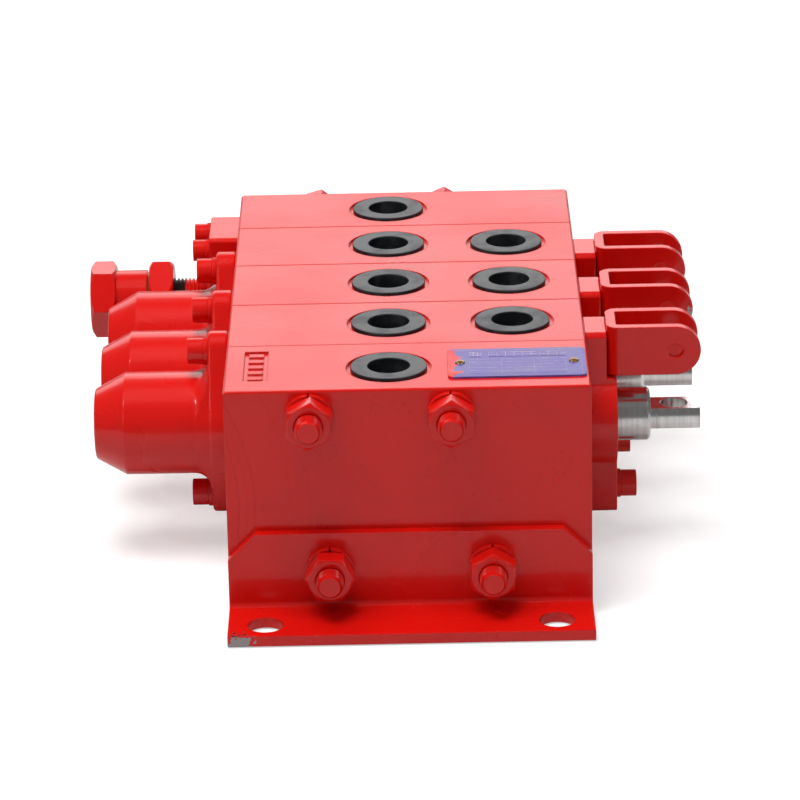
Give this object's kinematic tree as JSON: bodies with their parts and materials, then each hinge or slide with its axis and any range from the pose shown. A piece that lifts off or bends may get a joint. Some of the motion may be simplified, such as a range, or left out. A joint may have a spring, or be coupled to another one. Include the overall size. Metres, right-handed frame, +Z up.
{
  "type": "sectional hydraulic directional valve",
  "caption": "Stacked hydraulic directional valve: outlet, spool and inlet castings on tie rods, with spring caps, lever brackets, port plugs, a relief valve and two feet.",
  "frame": {"origin": "middle of the four foot holes, on the plane that the feet stand on", "axes": "+X along the spools towards their eyes, +Y along the stack from the outlet section to the inlet section, +Z up"},
  "size_m": [0.2357, 0.284, 0.088],
  "materials": {
    "red_paint": "glossy enamel over cast iron and steel",
    "turned_steel": "turned and ground",
    "spring_steel": "drawn wire",
    "seal_rubber": "matt nitrile rubber",
    "plug_plastic": "moulded polyethylene",
    "plate_enamel": "printed aluminium",
    "rivet_brass": "drawn brass",
    "dark_thread": "oiled thread, partly painted",
    "copper_ring": "soft copper"
  },
  "bodies": {
    "housing": {"outlet_section": "red_paint", "work_section_1": "red_paint", "work_section_2": "red_paint", "work_section_3": "red_paint", "inlet_section": "red_paint", "section_seals": "seal_rubber", "tie_rods": "red_paint", "tie_nuts": "red_paint", "tie_washers": "red_paint", "foot_front": "red_paint", "foot_rear": "red_paint", "inner_spring_1": "spring_steel", "inner_spring_2": "spring_steel", "inner_spring_3": "spring_steel", "outer_spring_1": "spring_steel", "outer_spring_2": "spring_steel", "outer_spring_3": "spring_steel", "spring_cap_1": "red_paint", "spring_cap_2": "red_paint", "spring_cap_3": "red_paint", "spool_seals": "seal_rubber", "cover_plate_1": "red_paint", "cover_plate_2": "red_paint", "cover_plate_3": "red_paint", "lever_bracket_1": "red_paint", "lever_bracket_2": "red_paint", "lever_bracket_3": "red_paint", "socket_screws": "red_paint", "screw_washers": "red_paint", "nameplate": "plate_enamel", "rivets": "rivet_brass", "relief_block": "red_paint", "relief_screws": "red_paint", "relief_sleeve": "dark_thread", "relief_spring": "spring_steel", "check_springs": "spring_steel"},
    "spool_1_slider": {"spool_1": "turned_steel", "spring_collar_1": "turned_steel"},
    "spool_2_slider": {"spool_2": "turned_steel", "spring_collar_2": "turned_steel"},
    "spool_3_slider": {"spool_3": "turned_steel", "spring_collar_3": "turned_steel"},
    "plug_tank_body": {"plug_tank": "plug_plastic"},
    "plug_a1_body": {"plug_a1": "plug_plastic"},
    "plug_a2_body": {"plug_a2": "plug_plastic"},
    "plug_a3_body": {"plug_a3": "plug_plastic"},
    "plug_b1_body": {"plug_b1": "plug_plastic"},
    "plug_b2_body": {"plug_b2": "plug_plastic"},
    "plug_b3_body": {"plug_b3": "plug_plastic"},
    "plug_inlet_body": {"plug_inlet": "plug_plastic"},
    "check_1_body": {"check_poppet_1": "turned_steel"},
    "check_2_body": {"check_poppet_2": "turned_steel"},
    "check_3_body": {"check_poppet_3": "turned_steel"},
    "relief_plunger_body": {"relief_plunger": "turned_steel"},
    "relief_cap_body": {"relief_cap": "red_paint"},
    "relief_ring_body": {"relief_lock_ring": "copper_ring"},
    "relief_nut_body": {"relief_lock_nut": "red_paint"},
    "relief_poppet_body": {"relief_poppet": "turned_steel"}
  },
  "joints": [
    {"name": "spool_1_slide", "type": "slide", "parent": "housing", "child": "spool_1_slider", "axis": [1, 0, 0], "range_m": [-0.007, 0.007], "stiffness_N_per_m": 6000, "deforming": ["inner_spring_1", "outer_spring_1"]},
    {"name": "spool_2_slide", "type": "slide", "parent": "housing", "child": "spool_2_slider", "axis": [1, 0, 0], "range_m": [-0.007, 0.007], "stiffness_N_per_m": 6000, "deforming": ["inner_spring_2", "outer_spring_2"]},
    {"name": "spool_3_slide", "type": "slide", "parent": "housing", "child": "spool_3_slider", "axis": [1, 0, 0], "range_m": [-0.007, 0.007], "stiffness_N_per_m": 6000, "deforming": ["inner_spring_3", "outer_spring_3"]},
    {"name": "plug_tank_pull", "type": "slide", "parent": "housing", "child": "plug_tank_body", "axis": [0, 0, 1], "range_m": [0, 0.02]},
    {"name": "plug_a1_pull", "type": "slide", "parent": "housing", "child": "plug_a1_body", "axis": [0, 0, 1], "range_m": [0, 0.02]},
    {"name": "plug_a2_pull", "type": "slide", "parent": "housing", "child": "plug_a2_body", "axis": [0, 0, 1], "range_m": [0, 0.02]},
    {"name": "plug_a3_pull", "type": "slide", "parent": "housing", "child": "plug_a3_body", "axis": [0, 0, 1], "range_m": [0, 0.02]},
    {"name": "plug_b1_pull", "type": "slide", "parent": "housing", "child": "plug_b1_body", "axis": [0, 0, 1], "range_m": [0, 0.02]},
    {"name": "plug_b2_pull", "type": "slide", "parent": "housing", "child": "plug_b2_body", "axis": [0, 0, 1], "range_m": [0, 0.02]},
    {"name": "plug_b3_pull", "type": "slide", "parent": "housing", "child": "plug_b3_body", "axis": [0, 0, 1], "range_m": [0, 0.02]},
    {"name": "plug_inlet_pull", "type": "slide", "parent": "housing", "child": "plug_inlet_body", "axis": [0, 0, 1], "range_m": [0, 0.02]},
    {"name": "check_1_lift", "type": "slide", "parent": "housing", "child": "check_1_body", "axis": [0, -1, 0], "range_m": [0, 0.004], "stiffness_N_per_m": 300, "springref_m": -0.01, "deforming": ["check_springs"]},
    {"name": "check_2_lift", "type": "slide", "parent": "housing", "child": "check_2_body", "axis": [0, -1, 0], "range_m": [0, 0.004], "stiffness_N_per_m": 300, "springref_m": -0.01, "deforming": ["check_springs"]},
    {"name": "check_3_lift", "type": "slide", "parent": "housing", "child": "check_3_body", "axis": [0, -1, 0], "range_m": [0, 0.004], "stiffness_N_per_m": 300, "springref_m": -0.01, "deforming": ["check_springs"]},
    {"name": "relief_plunger_travel", "type": "slide", "parent": "housing", "child": "relief_plunger_body", "axis": [1, 0, 0], "range_m": [-0.003, 0], "deforming": ["relief_spring"]},
    {"name": "relief_cap_turn", "type": "hinge", "parent": "relief_plunger_body", "child": "relief_cap_body", "pos_m": [-0.11, 0.091, 0.0502], "axis": [1, 0, 0], "range_deg": [-721, 0]},
    {"name": "relief_ring_travel", "type": "slide", "parent": "housing", "child": "relief_ring_body", "axis": [1, 0, 0], "range_m": [0, 0.0045]},
    {"name": "relief_nut_turn", "type": "hinge", "parent": "relief_ring_body", "child": "relief_nut_body", "pos_m": [-0.098, 0.091, 0.0502], "axis": [1, 0, 0], "range_deg": [0, 1081]},
    {"name": "relief_poppet_lift", "type": "slide", "parent": "housing", "child": "relief_poppet_body", "axis": [-1, 0, 0], "range_m": [0, 0.002], "stiffness_N_per_m": 1000, "springref_m": -0.005, "deforming": ["relief_spring"]}
  ],
  "couplings": [
    {"joint": "relief_cap_turn", "follows": "relief_plunger_travel", "rad_per_m": 4188.8},
    {"joint": "relief_nut_turn", "follows": "relief_ring_travel", "rad_per_m": 4188.8}
  ]
}
